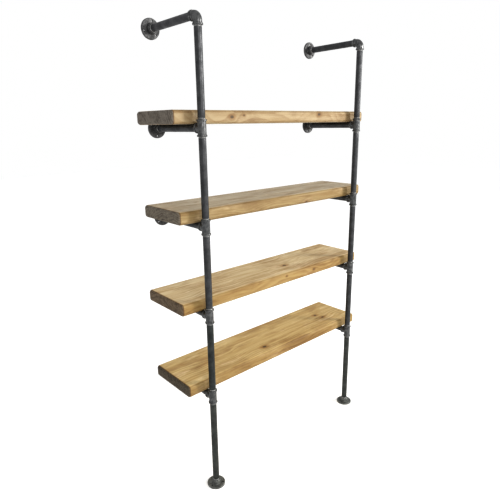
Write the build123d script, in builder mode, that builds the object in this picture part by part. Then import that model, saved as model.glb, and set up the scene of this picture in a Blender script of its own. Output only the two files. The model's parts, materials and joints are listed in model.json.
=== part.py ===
"""Shelving unit of screwed steel pipe and thick pine boards: floor standing, held to the wall.

Frame: +X along the boards, -Y the front, +Y towards the wall, +Z up, millimetres.
The origin is on the floor, in the middle of the whole width and of the whole depth.
"""

from build123d import *
import os

os.makedirs("parts", exist_ok=True)

# Layout of the unit
POST_SPACING = 900.0        # between the two post axes
POST_TO_WALL = 308.0        # post axis to the wall's face
LOWEST_ARM = 430.0          # floor to the axis of the lowest arm
ARM_PITCH = 355.0           # axis to axis, from arm to arm
TOP_PITCH = 362.0           # axis to axis, from the highest arm to the top arm
SHELF_COUNT = 4

# Pipe, nominal bore 3/4 inch
PIPE_RADIUS = 26.9 / 2
PIPE_WALL = 2.6
PIPE_END_CHAMFER = 0.8
GRIP = 14.0                 # length of each pipe end that is screwed into a fitting

# Beaded tees and elbows
TEE_REACH = 30.0            # centre of the tee to the face of each outlet
ELBOW_REACH = 33.0          # centre of the elbow to the face of each outlet
ELBOW_BEND = 20.0           # radius of the elbow's centre line
BODY_RADIUS = 15.6
BEAD_RADIUS = 18.2
BEAD_WIDTH = 7.0
BEAD_ROUNDING = 2.3
CASTING_FILLET = 2.5
WATERWAY_RADIUS = 12.4      # inside the body, between the sockets
SOCKET_RADIUS = PIPE_RADIUS + 0.05
SOCKET_CHAMFER = 0.6

# Round flanges
FLANGE_RADIUS = 38.0
FLANGE_THICKNESS = 7.5
FLANGE_EDGE_ROUNDING = 2.5
HUB_HEIGHT = 24.0           # from the flange's back face
HUB_BASE_RADIUS = 20.0
HUB_TOP_RADIUS = 18.4
HUB_CHAMFER = 1.6
HUB_FILLET = 2.0
SCREW_HOLE_RADIUS = 3.5
SCREW_CIRCLE_RADIUS = 29.0
SCREW_COUNT = 3
FLANGE_TURN = 75.0          # from straight across to the first screw hole, where the screwed-on flange stopped
TURN_STEP = -45.0           # further turn of each next flange down the wall

# Boards, rounded over on every edge
BOARD_LENGTH = 1090.0
BOARD_DEPTH = 249.0
BOARD_THICKNESS = 49.0
BOARD_SETBACK = 31.0        # post axis to the board's front edge
BOARD_ROUNDING = 12.0
BOARD_SHIFTS = (0.0, -10.0, -2.0, -6.0)     # where each loose board lies, off the middle of the posts, lowest first

TOLERANCE = 1e-3            # for telling edges apart

# Places worked out from the sizes above
whole_depth = FLANGE_RADIUS + POST_TO_WALL
wall_y = whole_depth / 2
post_y = wall_y - POST_TO_WALL
middle_x = -(min(BOARD_SHIFTS) + max(BOARD_SHIFTS)) / 2
sides = {"left": middle_x - POST_SPACING / 2, "right": middle_x + POST_SPACING / 2}
arm_heights = [LOWEST_ARM + ARM_PITCH * step for step in range(SHELF_COUNT)]
top_arm_height = arm_heights[-1] + TOP_PITCH
flange_seat = HUB_HEIGHT - GRIP


def save(piece, name):
    """Label the finished piece and write it under its node name."""
    piece.label = name
    export_step(piece, f"parts/{name}.step")


def upward(x, y, z):
    """Plane at a point, facing up."""
    return Plane(origin=(x, y, z), x_dir=(1, 0, 0), z_dir=(0, 0, 1))


def downward(x, y, z):
    """Plane at a point, facing down."""
    return Plane(origin=(x, y, z), x_dir=(1, 0, 0), z_dir=(0, 0, -1))


def wallward(x, y, z):
    """Plane at a point, facing the wall."""
    return Plane(origin=(x, y, z), x_dir=(1, 0, 0), z_dir=(0, 1, 0))


def roomward(x, y, z):
    """Plane at a point, facing away from the wall."""
    return Plane(origin=(x, y, z), x_dir=(1, 0, 0), z_dir=(0, -1, 0))


def circles_of(part, radius):
    """The part's circular edges of one radius."""
    return part.edges().filter_by(GeomType.CIRCLE).filter_by(lambda edge: abs(edge.radius - radius) < TOLERANCE)


def make_pipe(name, start, length):
    """A plain steel pipe that leaves the start plane along its normal."""
    with BuildPart() as pipe:
        with BuildSketch(start):
            Circle(PIPE_RADIUS)
            Circle(PIPE_RADIUS - PIPE_WALL, mode=Mode.SUBTRACT)
        extrude(amount=length)
        chamfer(circles_of(pipe.part, PIPE_RADIUS), PIPE_END_CHAMFER)
    save(pipe.part, name)


def add_disc(start, radius, length, mode=Mode.ADD):
    """A cylinder that leaves the start plane along its normal, added to or cut from the open part."""
    with BuildSketch(start) as profile:
        Circle(radius)
    extrude(profile.sketch, amount=length, mode=mode)


def add_bead(axis, reach):
    """The thick rounded ring at an outlet's mouth."""
    add_disc(axis.offset(reach - BEAD_WIDTH), BEAD_RADIUS, BEAD_WIDTH)


def cut_socket(axis, reach):
    """The threaded socket of one outlet, as a plain bore that takes the pipe's end."""
    add_disc(axis.offset(reach - GRIP), SOCKET_RADIUS, GRIP, Mode.SUBTRACT)


def is_mouth(edge, outlets, reach):
    """True for a socket edge that lies in the outlet's face and not at the socket's floor."""
    return any(abs(axis.to_local_coords(edge.arc_center).Z - reach) < TOLERANCE for axis in outlets)


def make_tee(name, x, z):
    """A beaded tee on the post, with its branch towards the wall."""
    outlets = [upward(x, post_y, z), downward(x, post_y, z), wallward(x, post_y, z)]
    with BuildPart() as tee:
        for axis in outlets:
            add_disc(axis, BODY_RADIUS, TEE_REACH)
        saddle = tee.edges().filter_by(lambda edge: edge.geom_type not in (GeomType.CIRCLE, GeomType.LINE))
        fillet(saddle, CASTING_FILLET)
        for axis in outlets:
            add_bead(axis, TEE_REACH)
        fillet(circles_of(tee.part, BEAD_RADIUS), BEAD_ROUNDING)
        for axis in outlets:
            add_disc(axis, WATERWAY_RADIUS, TEE_REACH, Mode.SUBTRACT)
            cut_socket(axis, TEE_REACH)
        mouths = circles_of(tee.part, SOCKET_RADIUS)
        chamfer(mouths.filter_by(lambda edge: is_mouth(edge, outlets, TEE_REACH)), SOCKET_CHAMFER)
    save(tee.part, name)


def make_elbow(name, x, z):
    """A beaded elbow at the head of the post, turning it towards the wall."""
    outlets = [downward(x, post_y, z), wallward(x, post_y, z)]
    side_view = Plane(origin=(x, post_y, z), x_dir=(0, 1, 0), z_dir=(1, 0, 0))
    with BuildPart() as elbow:
        with BuildLine(side_view) as centre_line:
            Line((0, -ELBOW_REACH), (0, -ELBOW_BEND))
            RadiusArc((0, -ELBOW_BEND), (ELBOW_BEND, 0), ELBOW_BEND)
            Line((ELBOW_BEND, 0), (ELBOW_REACH, 0))
        foot = upward(x, post_y, z - ELBOW_REACH)
        with BuildSketch(foot):
            Circle(BODY_RADIUS)
        sweep(path=centre_line.wires()[0])
        for axis in outlets:
            add_bead(axis, ELBOW_REACH)
        fillet(circles_of(elbow.part, BEAD_RADIUS), BEAD_ROUNDING)
        with BuildSketch(foot):
            Circle(WATERWAY_RADIUS)
        sweep(path=centre_line.wires()[0], mode=Mode.SUBTRACT)
        for axis in outlets:
            cut_socket(axis, ELBOW_REACH)
        mouths = circles_of(elbow.part, SOCKET_RADIUS)
        chamfer(mouths.filter_by(lambda edge: is_mouth(edge, outlets, ELBOW_REACH)), SOCKET_CHAMFER)
    save(elbow.part, name)


def make_flange(name, seat, turn):
    """A round flange that lies on the seat plane, with its hub along the plane's normal."""
    radial_view = Plane(origin=seat.origin, x_dir=seat.x_dir, z_dir=seat.y_dir * -1)
    disc_top = seat.offset(FLANGE_THICKNESS)
    with BuildPart() as flange:
        with BuildSketch(radial_view):
            with BuildLine():
                Polyline(
                    (WATERWAY_RADIUS, 0),
                    (FLANGE_RADIUS, 0),
                    (FLANGE_RADIUS, FLANGE_THICKNESS),
                    (HUB_BASE_RADIUS, FLANGE_THICKNESS),
                    (HUB_TOP_RADIUS, HUB_HEIGHT),
                    (WATERWAY_RADIUS, HUB_HEIGHT),
                    close=True,
                )
            make_face()
        revolve(axis=Axis(seat.origin, seat.z_dir))
        rims = circles_of(flange.part, FLANGE_RADIUS)
        front_rim = rims.filter_by(lambda edge: seat.to_local_coords(edge.arc_center).Z > TOLERANCE)
        fillet(front_rim, FLANGE_EDGE_ROUNDING)
        fillet(circles_of(flange.part, HUB_BASE_RADIUS), HUB_FILLET)
        chamfer(circles_of(flange.part, HUB_TOP_RADIUS), HUB_CHAMFER)
        add_disc(seat.offset(flange_seat), SOCKET_RADIUS, GRIP, Mode.SUBTRACT)
        with BuildSketch(disc_top):
            with PolarLocations(SCREW_CIRCLE_RADIUS, SCREW_COUNT, start_angle=turn):
                Circle(SCREW_HOLE_RADIUS)
        extrude(amount=-FLANGE_THICKNESS, mode=Mode.SUBTRACT)
    save(flange.part, name)


def make_board(name, arm_height, shift):
    """A thick board that lies loose on the two arms of one height, just behind the posts."""
    centre_y = post_y + BOARD_SETBACK + BOARD_DEPTH / 2
    underside = upward(middle_x + shift, centre_y, arm_height + PIPE_RADIUS)
    with BuildPart() as board:
        with BuildSketch(underside):
            Rectangle(BOARD_LENGTH, BOARD_DEPTH)
        extrude(amount=BOARD_THICKNESS)
        fillet(board.edges(), BOARD_ROUNDING)
    save(board.part, name)


def make_post(side, x):
    """One post from the floor up: flange, then pipe and tee by turns, then the elbow."""
    make_flange(f"{side}_floor_flange", upward(x, post_y, 0), FLANGE_TURN)
    foot = flange_seat
    for number, height in enumerate(arm_heights, start=1):
        head = height - TEE_REACH + GRIP
        make_pipe(f"{side}_post_pipe_{number}", upward(x, post_y, foot), head - foot)
        make_tee(f"{side}_tee_{number}", x, height)
        foot = height + TEE_REACH - GRIP
    head = top_arm_height - ELBOW_REACH + GRIP
    make_pipe(f"{side}_post_pipe_{SHELF_COUNT + 1}", upward(x, post_y, foot), head - foot)
    make_elbow(f"{side}_elbow", x, top_arm_height)


def make_arm(name, flange_name, x, height, reach, turn):
    """One arm from its fitting on the post to its flange on the wall."""
    start_y = post_y + reach - GRIP
    end_y = wall_y - flange_seat
    make_pipe(name, wallward(x, start_y, height), end_y - start_y)
    make_flange(flange_name, roomward(x, wall_y, height), turn)


for side, x in sides.items():
    make_post(side, x)
    for number, height in enumerate(arm_heights, start=1):
        turn = FLANGE_TURN + TURN_STEP * (SHELF_COUNT + 1 - number)
        make_arm(f"{side}_arm_pipe_{number}", f"{side}_wall_flange_{number}", x, height, TEE_REACH, turn)
    make_arm(f"{side}_top_arm_pipe", f"{side}_top_wall_flange", x, top_arm_height, ELBOW_REACH, FLANGE_TURN)

for number, (height, shift) in enumerate(zip(arm_heights, BOARD_SHIFTS), start=1):
    make_board(f"shelf_board_{number}", height, shift)
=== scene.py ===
"""Looks for the pipe shelving unit: iron fittings, oiled steel pipe with cut threads, waxed pine boards."""

import bpy
import json
import math
from mathutils import Matrix, Vector


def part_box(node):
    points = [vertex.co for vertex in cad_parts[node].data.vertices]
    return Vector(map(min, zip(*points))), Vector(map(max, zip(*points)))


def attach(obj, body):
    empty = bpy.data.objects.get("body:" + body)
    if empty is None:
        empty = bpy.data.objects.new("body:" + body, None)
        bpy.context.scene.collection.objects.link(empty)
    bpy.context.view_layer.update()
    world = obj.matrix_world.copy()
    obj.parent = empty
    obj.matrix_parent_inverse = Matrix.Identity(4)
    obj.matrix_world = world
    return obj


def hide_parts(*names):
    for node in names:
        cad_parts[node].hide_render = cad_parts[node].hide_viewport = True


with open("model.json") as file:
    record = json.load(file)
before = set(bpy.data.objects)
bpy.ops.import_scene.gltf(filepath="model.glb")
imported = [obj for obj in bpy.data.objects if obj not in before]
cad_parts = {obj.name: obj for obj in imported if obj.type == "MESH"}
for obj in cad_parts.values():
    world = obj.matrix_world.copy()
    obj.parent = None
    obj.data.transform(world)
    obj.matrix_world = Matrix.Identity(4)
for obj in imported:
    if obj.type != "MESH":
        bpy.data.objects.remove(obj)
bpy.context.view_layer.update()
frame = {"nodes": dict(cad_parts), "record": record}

SIDES = ("left", "right")
SHELVES = range(1, 5)
POST_PIPES = range(1, 6)

# Pipes, and the threads cut on their ends (3/4 inch taper pipe thread), in metres
PIPE_WALL = 0.0026
THREAD_PITCH = 0.001814
THREAD_DEPTH = 0.0011
THREAD_SHOWN = 0.0052       # length of thread left outside the fitting
THREAD_RUNOUT = 0.0022      # over which its depth fades to nothing
THREAD_MARK = "cut_thread"  # the pipes' vertex attribute that is 1 on their cut threads
AROUND = 72                 # points around a pipe
RINGS_PER_THREAD = 8
PLAIN_STEP = 0.03           # between rings on the plain part of a pipe

# Camera: where it stands, in metres from the unit's origin, and how it is turned, in radians
CAMERA_AT = Vector((-1.4149, -1.4831, 1.5057))
CAMERA_YAW = 0.7212         # from straight ahead towards the right
CAMERA_PITCH = 0.2688       # downwards
CAMERA_ROLL = -0.0151
CAMERA_LENS = 32.885        # in millimetres, like the sensor
SENSOR_WIDTH = 36.0

# Stage
FLOOR_HALF = 14.0
FLOOR_GREYS = ((0.86, 0.86, 0.86), (0.9, 0.9, 0.9))
FLOOR_ROUGHNESS = 0.9
FLOOR_GLOW = 0.14           # keeps the floor as white as the world behind it
WORLD_STRENGTH = 1.0
VIEW_GAMMA = 0.7
SOFTBOXES = {       # where each stands, what it faces, its width and height, its power and its colour
    "key": ((3.4, -3.6, 2.5), (0, 0, 1.1), (0.9, 1.3), 225.0, (1.0, 0.98, 0.95)),
    "front_fill": ((-0.9, -3.4, 2.3), (-0.3, 0, 1.1), (1.6, 1.6), 60.0, (1.0, 0.98, 0.96)),
}


# ---------------------------------------------------------------- material helpers

class Graph:
    """A material's node tree, with short calls that add nodes and wire them."""

    def __init__(self, name):
        self.material = bpy.data.materials.new(name)
        self.material.use_nodes = True
        self.tree = self.material.node_tree
        self.shader = self.tree.nodes["Principled BSDF"]

    def add(self, kind, **settings):
        node = self.tree.nodes.new(kind)
        for key, value in settings.items():
            setattr(node, key, value)
        return node

    def feed(self, socket, value):
        """Wire an output to a socket, or set the socket to a plain value."""
        if isinstance(value, bpy.types.NodeSocket):
            self.tree.links.new(value, socket)
        else:
            socket.default_value = value

    def math(self, operation, first, second=0.0, third=0.0):
        node = self.add("ShaderNodeMath", operation=operation)
        for socket, value in zip(node.inputs, (first, second, third)):
            self.feed(socket, value)
        return node.outputs[0]

    def vector(self, operation, first, second=(0, 0, 0)):
        node = self.add("ShaderNodeVectorMath", operation=operation)
        self.feed(node.inputs[0], first)
        if operation == "SCALE":
            self.feed(node.inputs["Scale"], second)
        elif operation != "LENGTH":
            self.feed(node.inputs[1], second)
        return node.outputs["Value"] if operation in ("LENGTH", "DOT_PRODUCT") else node.outputs[0]

    def place(self):
        """Where a point is in the unit's own frame, in metres."""
        return self.add("ShaderNodeTexCoord").outputs["Object"]

    def split(self, vector):
        node = self.add("ShaderNodeSeparateXYZ")
        self.feed(node.inputs[0], vector)
        return node.outputs

    def join(self, x, y, z):
        node = self.add("ShaderNodeCombineXYZ")
        for socket, value in zip(node.inputs, (x, y, z)):
            self.feed(socket, value)
        return node.outputs[0]

    def noise(self, vector, scale, detail, roughness, distortion=0.0):
        """Cloudy noise from 0 to 1."""
        node = self.add("ShaderNodeTexNoise")
        self.feed(node.inputs["Vector"], vector)
        node.inputs["Scale"].default_value = scale
        node.inputs["Detail"].default_value = detail
        node.inputs["Roughness"].default_value = roughness
        node.inputs["Distortion"].default_value = distortion
        return node.outputs["Fac"]

    def cells(self, vector, scale):
        """Distance to the nearest of scattered points."""
        node = self.add("ShaderNodeTexVoronoi")
        self.feed(node.inputs["Vector"], vector)
        node.inputs["Scale"].default_value = scale
        return node.outputs["Distance"]

    def remap(self, value, low, high, to_low=0.0, to_high=1.0):
        """A smooth step from one value at low to another at high."""
        node = self.add("ShaderNodeMapRange", interpolation_type="SMOOTHSTEP")
        for socket, given in zip(node.inputs, (value, low, high, to_low, to_high)):
            self.feed(socket, given)
        return node.outputs[0]

    def blend(self, factor, first, second, how="MIX"):
        node = self.add("ShaderNodeMix", data_type="RGBA", blend_type=how)
        self.feed(node.inputs["Factor"], factor)
        for socket, colour in ((node.inputs[6], first), (node.inputs[7], second)):
            self.feed(socket, colour if isinstance(colour, bpy.types.NodeSocket) else (*colour, 1.0))
        return node.outputs[2]

    def bump(self, height, distance, strength, under=None):
        """Relief up to a distance in metres, on top of the relief already there."""
        node = self.add("ShaderNodeBump")
        self.feed(node.inputs["Height"], height)
        node.inputs["Distance"].default_value = distance
        node.inputs["Strength"].default_value = strength
        if under is not None:
            self.feed(node.inputs["Normal"], under)
        return node.outputs[0]

    def finish(self, colour, roughness, normal, metallic=0.0):
        """Feed the shader and give the material."""
        self.feed(self.shader.inputs["Base Color"], colour)
        self.feed(self.shader.inputs["Roughness"], roughness)
        self.feed(self.shader.inputs["Normal"], normal)
        self.shader.inputs["Metallic"].default_value = metallic
        return self.material


# ---------------------------------------------------------------- metals

CASTING_METALLIC = 0.72
CASTINGS = {        # darkest and lightest tone, and roughness where the skin is rubbed and where it is not
    "iron_fitting": ((0.058, 0.060, 0.062), (0.145, 0.148, 0.149), 0.3, 0.42),
    # the wall flanges' lightest tone sits below the fittings' as painted shade on faces that the key light
    # falls on
    "iron_wall_flange_shaded": ((0.060, 0.061, 0.063), (0.125, 0.126, 0.127), 0.5, 0.66),
    "iron_foot": ((0.120, 0.125, 0.117), (0.225, 0.232, 0.220), 0.5, 0.66),
}
SAND = (0.21, 0.211, 0.212)
PITS = (0.026, 0.026, 0.027)
MOTTLE_SCALE, SAND_SCALE, PIT_SCALE, WAVE_SCALE = 75.0, 1100.0, 520.0, 190.0        # per metre, as below

PIPE_METALLIC = 0.8
PIPE_TONES = {      # darkest and lightest tone of the mill scale
    "pipe_steel": ((0.057, 0.059, 0.062), (0.092, 0.094, 0.098)),
    "pipe_steel_green": ((0.050, 0.054, 0.050), (0.080, 0.085, 0.079)),
    "pipe_steel_dark": ((0.036, 0.042, 0.041), (0.066, 0.072, 0.070)),
    "pipe_steel_pale": ((0.076, 0.077, 0.082), (0.118, 0.119, 0.125)),
}
ODD_PIPES = {       # pipes whose tone is not the usual one
    "left_post_pipe_1": "pipe_steel_green",
    "right_post_pipe_1": "pipe_steel_green",
    "left_post_pipe_2": "pipe_steel_dark",
    "left_top_arm_pipe": "pipe_steel_pale",
}
RUBS = (0.13, 0.131, 0.135)
DRAWN_LINES = (0.115, 0.116, 0.12)
LINE_STRETCH = (1.0, 1.0, 0.06)     # draws the noise out along the posts
CUT_STEEL = (0.36, 0.362, 0.36)
BLOTCH_SCALE, LINE_SCALE, GRAIN_SCALE, RUB_SCALE = 34.0, 900.0, 1700.0, 16.0


def make_casting_material(name, dark, light, smooth, rough):
    """Malleable iron as cast: a fine sandy skin, darker pits and a rubbed, paler mottle."""
    g = Graph(name)
    at = g.place()
    mottle = g.noise(at, MOTTLE_SCALE, 4.0, 0.6)
    sand = g.noise(at, SAND_SCALE, 3.0, 0.65)
    pits = g.remap(g.cells(at, PIT_SCALE), 0.06, 0.3)
    waves = g.noise(at, WAVE_SCALE, 2.0, 0.5)
    colour = g.blend(g.remap(mottle, 0.36, 0.66), dark, light)
    colour = g.blend(g.math("MULTIPLY", g.remap(sand, 0.42, 0.72), 0.6), colour, SAND)
    colour = g.blend(g.math("MULTIPLY_ADD", pits, -0.5, 0.5), colour, PITS)
    roughness = g.remap(mottle, 0.3, 0.7, rough, smooth)
    normal = g.bump(waves, 0.0006, 0.55)
    normal = g.bump(sand, 0.00012, 0.6, normal)
    normal = g.bump(pits, 0.00012, 0.5, normal)
    return g.finish(colour, roughness, normal, CASTING_METALLIC)


def make_pipe_material(name, dark, light):
    """Steel pipe with its mill scale oiled: dark, satin, with faint drawn lines and paler rubs."""
    g = Graph(name)
    at = g.place()
    blotches = g.noise(at, BLOTCH_SCALE, 5.0, 0.62)
    drawn = g.noise(g.vector("MULTIPLY", at, LINE_STRETCH), LINE_SCALE, 2.0, 0.6)
    grain = g.noise(at, GRAIN_SCALE, 2.0, 0.6)
    rubs = g.remap(g.noise(at, RUB_SCALE, 4.0, 0.7, 0.6), 0.54, 0.74)
    colour = g.blend(g.remap(blotches, 0.35, 0.68), dark, light)
    colour = g.blend(g.math("MULTIPLY", rubs, 0.45), colour, RUBS)
    colour = g.blend(g.math("MULTIPLY", g.remap(drawn, 0.4, 0.75), 0.3), colour, DRAWN_LINES)
    cut = g.add("ShaderNodeAttribute", attribute_name=THREAD_MARK).outputs["Fac"]
    colour = g.blend(cut, colour, CUT_STEEL)
    roughness = g.math("MULTIPLY_ADD", cut, -0.12, g.remap(blotches, 0.3, 0.72, 0.52, 0.4))
    normal = g.bump(blotches, 0.0004, 0.25)
    normal = g.bump(grain, 0.00005, 0.35, normal)
    return g.finish(colour, roughness, normal, PIPE_METALLIC)


# ---------------------------------------------------------------- boards

RING_WIDTH = 0.0105
RING_SWAY = 0.16                    # how far the heart line wanders sideways, and the rings up and down
RING_WOBBLE = 0.040
UNEVEN_YEARS = 2.6                  # by how many rings their spacing drifts
UNEVEN_STEP = 0.35                  # how fast it does so, per ring
LATE_WOOD = (0.60, 0.46, 0.30)      # these five darken the planed wood by multiplying it
STREAK = (0.72, 0.60, 0.44)
CLOUD = (0.68, 0.58, 0.46)
HALO = (0.66, 0.50, 0.31)
BURNT_EDGE = (0.52, 0.40, 0.28)
SAWN_RING = (0.4, 0.38, 0.37)       # and these three the sawn ends
SAWN_STAIN = (0.48, 0.44, 0.42)
SAWN_CHECK = (0.2, 0.18, 0.17)
PALE = (0.30, 0.25, 0.19)           # lightens both
KNOT = (0.072, 0.047, 0.024)
KNOT_LEAN = 0.15                    # of the branches, along the board
KNOT_SQUEEZE = (0.62, 1.0, 1.0)     # makes a knot longer along the board
KNOT_DRAW = 1.1                     # how far a knot draws the rings aside, in its own radii
KNOT_FADE = -0.16                   # of that, with the square of the distance
GRAIN_ROUGHNESS = 0.6               # of the noise in the grain
CHECK_STRETCH = (5.0, 60.0, 240.0)  # draws the drying checks out along and across the boards
WAXED_ROUGHNESS = (0.54, 0.68)
SAWN_ROUGHER = 0.25                 # added to that on the sawn ends


class Knot:
    """A branch cut by the board's surface: its centre from the board's middle, in metres, and its size."""

    def __init__(self, x, y, z, radius):
        self.centre = Vector((x, y, z))
        self.radius = radius


FRONT, TOP = -0.1245, 0.0245        # a board's front edge in y and its top in z, from its middle
KNOTS = {
    4: [Knot(-0.281, FRONT, 0.0, 0.006), Knot(-0.221, FRONT, 0.006, 0.003),
        Knot(0.219, FRONT, 0.01, 0.006), Knot(0.33, 0.05, TOP, 0.009)],
    3: [Knot(0.142, FRONT, -0.017, 0.004), Knot(-0.36, 0.03, TOP, 0.004)],
    2: [Knot(0.10, -0.034, TOP, 0.008), Knot(0.025, FRONT, 0.01, 0.003),
        Knot(0.213, FRONT, 0.002, 0.004)],
    1: [Knot(0.369, 0.001, TOP, 0.007), Knot(0.383, -0.040, TOP, 0.0065),
        Knot(-0.082, -0.075, TOP, 0.008)],
}
# Heart line of each board's log, in y and z from the board's middle
PITHS = {4: (0.19, -0.10), 3: (-0.05, -0.16), 2: (0.04, -0.13), 1: (0.10, -0.14)}
TONES = {       # of each board: its long edges, its broad faces (lighter and greyer, a painted sheen) and its sawn ends
    4: ((0.325, 0.258, 0.156), (0.50, 0.45, 0.35), (0.165, 0.148, 0.128)),
    3: ((0.275, 0.207, 0.100), (0.48, 0.43, 0.335), (0.170, 0.150, 0.120)),
    2: ((0.325, 0.238, 0.102), (0.585, 0.49, 0.315), (0.150, 0.110, 0.071)),
    1: ((0.300, 0.215, 0.088), (0.54, 0.43, 0.225), (0.080, 0.064, 0.044)),
}
SEED_STEP = 3.7                     # from one board's noise to the next one's


def knot_fields(g, at, knots):
    """How far the knots draw each point aside, how dark they are, and how brown the wood round them is."""
    aside, dark, halo = 0.0, 0.0, 0.0
    for knot in knots:
        upright = abs(knot.centre.z) > abs(knot.centre.y) * 0.2     # or else it runs from front to back
        axis = Vector((KNOT_LEAN, 0.0, 1.0)) if upright else Vector((KNOT_LEAN, 1.0, 0.0))
        axis.normalize()
        offset = g.vector("SUBTRACT", at, tuple(knot.centre))
        along = g.vector("DOT_PRODUCT", offset, tuple(axis))
        across = g.vector("SUBTRACT", offset, g.vector("SCALE", tuple(axis), along))
        squeezed = g.vector("MULTIPLY", across, KNOT_SQUEEZE)
        distance = g.math("DIVIDE", g.vector("LENGTH", squeezed), knot.radius)
        pull = g.math("EXPONENT", g.math("MULTIPLY", g.math("POWER", distance, 2.0), KNOT_FADE))
        aside = g.math("MULTIPLY_ADD", pull, knot.radius * KNOT_DRAW, aside)
        dark = g.math("MAXIMUM", dark, g.math("SUBTRACT", 1.0, g.remap(distance, 0.55, 1.15)))
        halo = g.math("MAXIMUM", halo, g.math("SUBTRACT", 1.0, g.remap(distance, 0.9, 3.2)))
    return aside, dark, halo


def grain_noise(g, at, seed):
    """Gives the function that adds one board's noise in patches of a length and a width, in metres."""
    def patches(along, across, detail=4.0, offset=0.0):
        place = g.vector("ADD", at, (seed + offset, 0.0, 0.0))
        stretched = g.vector("MULTIPLY", place, (1 / along, 1 / across, 1 / across))
        return g.noise(stretched, 1.0, detail, GRAIN_ROUGHNESS)
    return patches


def late_wood(g, at, pith, aside, patches, seed):
    """Where the dark wood is that ends each year's ring round the heart line."""
    _, y, z = g.split(at)
    sway = g.math("MULTIPLY_ADD", patches(0.40, 0.9, 2.0), RING_SWAY, -RING_SWAY / 2)
    wobble = g.math("MULTIPLY_ADD", patches(0.34, 0.07), RING_WOBBLE, -RING_WOBBLE / 2)
    across = g.math("ADD", g.math("SUBTRACT", y, pith[0]), g.math("ADD", sway, aside))
    upward = g.math("ADD", g.math("SUBTRACT", z, pith[1]), wobble)
    squares = g.math("ADD", g.math("MULTIPLY", across, across), g.math("MULTIPLY", upward, upward))
    years = g.math("MULTIPLY", g.math("SQRT", squares), 1 / RING_WIDTH)
    uneven = g.noise(g.join(seed, g.math("MULTIPLY", years, UNEVEN_STEP), 0.0), 1.0, 2.0, 0.5)
    phase = g.math("FRACT", g.math("MULTIPLY_ADD", uneven, UNEVEN_YEARS, years))
    late = g.math("MULTIPLY", g.remap(phase, 0.2, 0.86), g.math("SUBTRACT", 1.0, g.remap(phase, 0.86, 1.0)))
    return g.math("MULTIPLY", late, g.remap(patches(0.45, 0.06, 3.0, 5.0), 0.35, 0.65, 0.25, 1.0))


def sawn_colour(g, at, patches, late, sawn):
    """The boards' ends: ring arcs, stains, pale pores and drying checks."""
    stains = patches(0.05, 0.024, 5.0, 7.0)
    pores = patches(0.017, 0.0011, 3.0)
    checks = g.noise(g.vector("MULTIPLY", at, CHECK_STRETCH), 1.0, 3.0, 0.6, 0.4)
    colour = g.blend(late, sawn, SAWN_RING, "MULTIPLY")
    colour = g.blend(g.math("MULTIPLY", g.remap(stains, 0.42, 0.7), 0.8), colour, SAWN_STAIN, "MULTIPLY")
    colour = g.blend(g.math("MULTIPLY", g.remap(pores, 0.4, 0.7), 0.4), colour, PALE, "SCREEN")
    return g.blend(g.math("MULTIPLY", g.remap(checks, 0.60, 0.70), 0.85), colour, SAWN_CHECK, "MULTIPLY")


def make_board_material(name, middle, pith, knots, tone, seed):
    """Waxed pine from a log whose heart line runs along the board, pith metres from the board's middle."""
    g = Graph(name)
    at = g.vector("SUBTRACT", g.place(), tuple(middle))
    patches = grain_noise(g, at, seed)
    aside, dark, halo = knot_fields(g, at, knots)
    late = late_wood(g, at, pith, aside, patches, seed)
    fibre = patches(0.11, 0.0024)
    streak = patches(0.35, 0.016, 5.0)
    cloud = patches(0.20, 0.075, 5.0, 2.0)
    mist = patches(0.15, 0.055, 5.0, 9.0)
    curl = patches(0.03, 0.007, 3.0, 3.0)

    facing = g.split(g.add("ShaderNodeNewGeometry").outputs["Normal"])
    # how much a point faces up or down: there the wood takes a painted sheen, lighter and greyer
    broad_face_sheen = g.remap(g.math("ABSOLUTE", facing[2]), 0.8, 0.98)
    sideways = g.math("ABSOLUTE", facing[0])
    on_end = g.remap(sideways, 0.3, 0.5)

    edge, face, sawn = tone
    # painted sheen: the broad faces take their lighter, greyer tone
    colour = g.blend(broad_face_sheen, edge, face)
    colour = g.blend(g.math("MULTIPLY", late, 0.55), colour, LATE_WOOD, "MULTIPLY")
    colour = g.blend(g.math("MULTIPLY", g.remap(streak, 0.42, 0.68), 0.55), colour, STREAK, "MULTIPLY")
    colour = g.blend(g.math("MULTIPLY", g.remap(cloud, 0.46, 0.68), 0.65), colour, CLOUD, "MULTIPLY")
    # pale patches round curly grain: partly pale wood, partly painted glints, stronger on the broad faces
    pale_patch_and_glint = g.math("MULTIPLY", g.remap(mist, 0.52, 0.72), g.remap(curl, 0.4, 0.7, 0.35, 1.0))
    pale_patch_and_glint = g.math("MULTIPLY", pale_patch_and_glint, g.remap(broad_face_sheen, 0.0, 1.0, 0.45, 0.9))
    colour = g.blend(pale_patch_and_glint, colour, PALE, "SCREEN")
    colour = g.blend(g.math("MULTIPLY", g.remap(fibre, 0.5, 0.78), 0.4), colour, STREAK, "MULTIPLY")
    colour = g.blend(g.math("MULTIPLY", halo, 0.8), colour, HALO, "MULTIPLY")
    colour = g.blend(g.math("MULTIPLY", dark, 0.9), colour, KNOT)
    colour = g.blend(g.remap(sideways, 0.06, 0.3), colour, BURNT_EDGE, "MULTIPLY")
    colour = g.blend(on_end, colour, sawn_colour(g, at, patches, late, sawn))

    waxed = g.remap(streak, 0.3, 0.75, *WAXED_ROUGHNESS)
    roughness = g.math("MULTIPLY_ADD", on_end, SAWN_ROUGHER, waxed)
    normal = g.bump(late, 0.0003, 0.5)
    normal = g.bump(fibre, 0.00025, 0.5, normal)
    normal = g.bump(cloud, 0.0015, 0.35, normal)
    return g.finish(colour, roughness, normal)


# ---------------------------------------------------------------- pipes with cut threads

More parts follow.
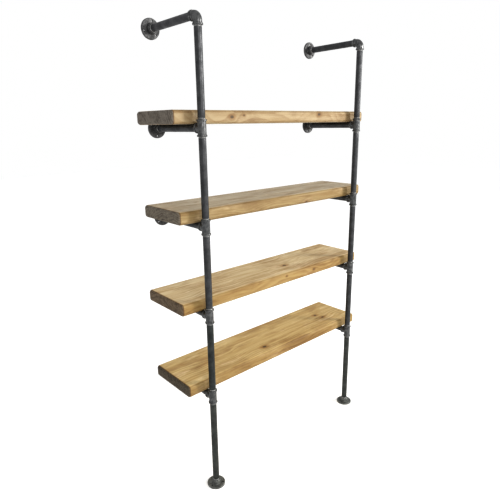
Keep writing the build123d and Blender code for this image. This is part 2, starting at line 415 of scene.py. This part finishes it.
def thread_depth(along, turn, shown_from, shown_to):
    """Depth of the thread at a distance from the pipe's end and a turn around it."""
    if along >= shown_to:
        return 0.0
    if along < shown_from:          # hidden in the fitting, where a plain end of half the depth is enough
        return THREAD_DEPTH * 0.5
    fade = min(1.0, (shown_to - along) / THREAD_RUNOUT)
    groove = 0.5 - 0.5 * math.cos(2 * math.pi * (along / THREAD_PITCH - turn))
    return THREAD_DEPTH * fade * groove


def ring_places(length, shown_from, shown_to):
    """Distances of a pipe's rings from its first end, close together where the thread shows."""
    count = round((shown_to - shown_from) / THREAD_PITCH * RINGS_PER_THREAD)
    thread = [shown_from + (shown_to - shown_from) * i / count for i in range(count + 1)]
    plain_length = length - 2 * shown_to
    plain_count = max(1, round(plain_length / PLAIN_STEP))
    plain = [shown_to + plain_length * i / plain_count for i in range(1, plain_count)]
    return [0.0] + thread + plain + [length - place for place in reversed(thread)] + [length]


def build_pipe(node, grip, material):
    """A pipe in place of its CAD node, with real threads where they leave the fittings."""
    low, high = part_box(node)
    size = high - low
    run = max(range(3), key=lambda i: size[i])
    length = size[run]
    centre = (low + high) / 2
    outer = min(size) / 2
    sides = [i for i in range(3) if i != run]
    shown_from, shown_to = grip - THREAD_PITCH, grip + THREAD_SHOWN
    verts, faces, marks = [], [], []

    def add_ring(along, radius_at, mark=0.0):
        marks.extend([mark] * AROUND)
        for step in range(AROUND):
            angle = 2 * math.pi * step / AROUND
            radius = radius_at(step / AROUND)
            point = [0.0, 0.0, 0.0]
            point[run] = low[run] + along
            point[sides[0]] = centre[sides[0]] + radius * math.cos(angle)
            point[sides[1]] = centre[sides[1]] + radius * math.sin(angle)
            verts.append(point)

    places = ring_places(length, shown_from, shown_to)
    add_ring(0.0, lambda turn: outer - PIPE_WALL)
    for along in places:
        end = min(along, length - along)
        mark = min(1.0, max(0.0, (shown_to - end) / THREAD_RUNOUT))
        add_ring(along, lambda turn: outer - thread_depth(end, turn, shown_from, shown_to), mark)
    add_ring(length, lambda turn: outer - PIPE_WALL)
    rings = len(places) + 2
    for ring in range(rings):
        here, after = ring * AROUND, (ring + 1) % rings * AROUND
        for step in range(AROUND):
            beside = (step + 1) % AROUND
            quad = (here + step, here + beside, after + beside, after + step)
            faces.append(quad if run == 2 else quad[::-1])
    mesh = bpy.data.meshes.new(node + "_threaded")
    mesh.from_pydata(verts, [], faces)
    mesh.materials.append(material)
    mesh.attributes.new(THREAD_MARK, "FLOAT", "POINT").data.foreach_set("value", marks)
    mesh.polygons.foreach_set("use_smooth", [True] * len(mesh.polygons))
    pipe = bpy.data.objects.new(node + "_threaded", mesh)
    bpy.context.scene.collection.objects.link(pipe)
    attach(pipe, "root")
    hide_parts(node)


def all_pipes():
    """Names of the pipe nodes."""
    for side in SIDES:
        for number in POST_PIPES:
            yield f"{side}_post_pipe_{number}"
        for number in SHELVES:
            yield f"{side}_arm_pipe_{number}"
        yield f"{side}_top_arm_pipe"


# ---------------------------------------------------------------- the object

def set_material(node, material):
    mesh = frame["nodes"][node].data
    mesh.materials.clear()
    mesh.materials.append(material)


def iron_of(node):
    """Name of a casting's material: the wall flanges keep a rougher skin and a lower lightest tone, painted
    shade on faces the key light falls on; the feet are the palest.
    """
    if "floor_flange" in node:
        return "iron_foot"
    return "iron_wall_flange_shaded" if "wall_flange" in node else "iron_fitting"


def dress_castings():
    """Iron on every tee, elbow and flange."""
    irons = {name: make_casting_material(name, *look) for name, look in CASTINGS.items()}
    for entry in frame["record"]["subparts"]:
        if entry["material_slot"] == "casting":
            set_material(entry["node"], irons[iron_of(entry["node"])])


def dress_pipes():
    """Threaded steel in place of every pipe, with the thread's end as deep in its fitting as in the CAD."""
    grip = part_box("left_tee_1")[1].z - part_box("left_post_pipe_2")[0].z
    steels = {name: make_pipe_material(name, dark, light) for name, (dark, light) in PIPE_TONES.items()}
    for node in all_pipes():
        build_pipe(node, grip, steels[ODD_PIPES.get(node, "pipe_steel")])


def dress_boards():
    """Each board gets its own log, knots and tone."""
    for number in SHELVES:
        node = f"shelf_board_{number}"
        low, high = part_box(node)
        middle = (low + high) / 2
        log = PITHS[number], KNOTS[number], TONES[number], number * SEED_STEP
        set_material(node, make_board_material(f"pine_{number}", middle, *log))


# ---------------------------------------------------------------- stage, light and camera

def build_floor():
    """The stage's floor, a plain square under the unit."""
    mesh = bpy.data.meshes.new("floor")
    half = FLOOR_HALF
    corners = [(-half, -half, 0), (half, -half, 0), (half, half, 0), (-half, half, 0)]
    mesh.from_pydata(corners, [], [(0, 1, 2, 3)])
    g = Graph("pale_floor")
    speckle = g.noise(g.place(), 3.0, 2.0, 0.5)
    g.shader.inputs["Emission Color"].default_value = (1.0, 1.0, 1.0, 1.0)
    g.shader.inputs["Emission Strength"].default_value = FLOOR_GLOW
    normal = g.bump(speckle, 0.0005, 0.1)
    mesh.materials.append(g.finish(g.blend(speckle, *FLOOR_GREYS), FLOOR_ROUGHNESS, normal))
    floor = bpy.data.objects.new("floor", mesh)
    bpy.context.scene.collection.objects.link(floor)


def add_softbox(name, at, towards, size, power, colour):
    light = bpy.data.lights.new(name, "AREA")
    light.shape = "RECTANGLE"
    light.size, light.size_y = size
    light.energy = power
    light.color = colour
    lamp = bpy.data.objects.new(name, light)
    lamp.location = at
    lamp.rotation_euler = (Vector(towards) - Vector(at)).to_track_quat("-Z", "Y").to_euler()
    bpy.context.scene.collection.objects.link(lamp)


def light_studio():
    """A white world and the softboxes, under the view's gamma, which all tones here are made for."""
    world = bpy.data.worlds.new("studio")
    world.use_nodes = True
    background = world.node_tree.nodes["Background"]
    background.inputs["Color"].default_value = (1, 1, 1, 1)
    background.inputs["Strength"].default_value = WORLD_STRENGTH
    bpy.context.scene.world = world
    view = bpy.context.scene.view_settings
    view.view_transform = "Standard"
    view.gamma = VIEW_GAMMA
    for name, setting in SOFTBOXES.items():
        add_softbox(name, *setting)


def place_camera():
    """The camera, turned as its yaw, pitch and roll say."""
    right = Vector((math.cos(CAMERA_YAW), -math.sin(CAMERA_YAW), 0.0))
    level = Vector((math.sin(CAMERA_YAW), math.cos(CAMERA_YAW), 0.0))
    ahead = level * math.cos(CAMERA_PITCH) - Vector((0, 0, math.sin(CAMERA_PITCH)))
    up = right.cross(ahead)
    rolled_right = right * math.cos(CAMERA_ROLL) + up * math.sin(CAMERA_ROLL)
    rolled_up = up * math.cos(CAMERA_ROLL) - right * math.sin(CAMERA_ROLL)
    data = bpy.data.cameras.new("camera")
    data.lens = CAMERA_LENS
    data.sensor_width = SENSOR_WIDTH
    camera = bpy.data.objects.new("camera", data)
    turn = Matrix((rolled_right, rolled_up, -ahead)).transposed().to_4x4()
    camera.matrix_world = Matrix.Translation(CAMERA_AT) @ turn
    bpy.context.scene.collection.objects.link(camera)
    bpy.context.scene.camera = camera


dress_castings()
dress_pipes()
dress_boards()
build_floor()
light_studio()
place_camera()
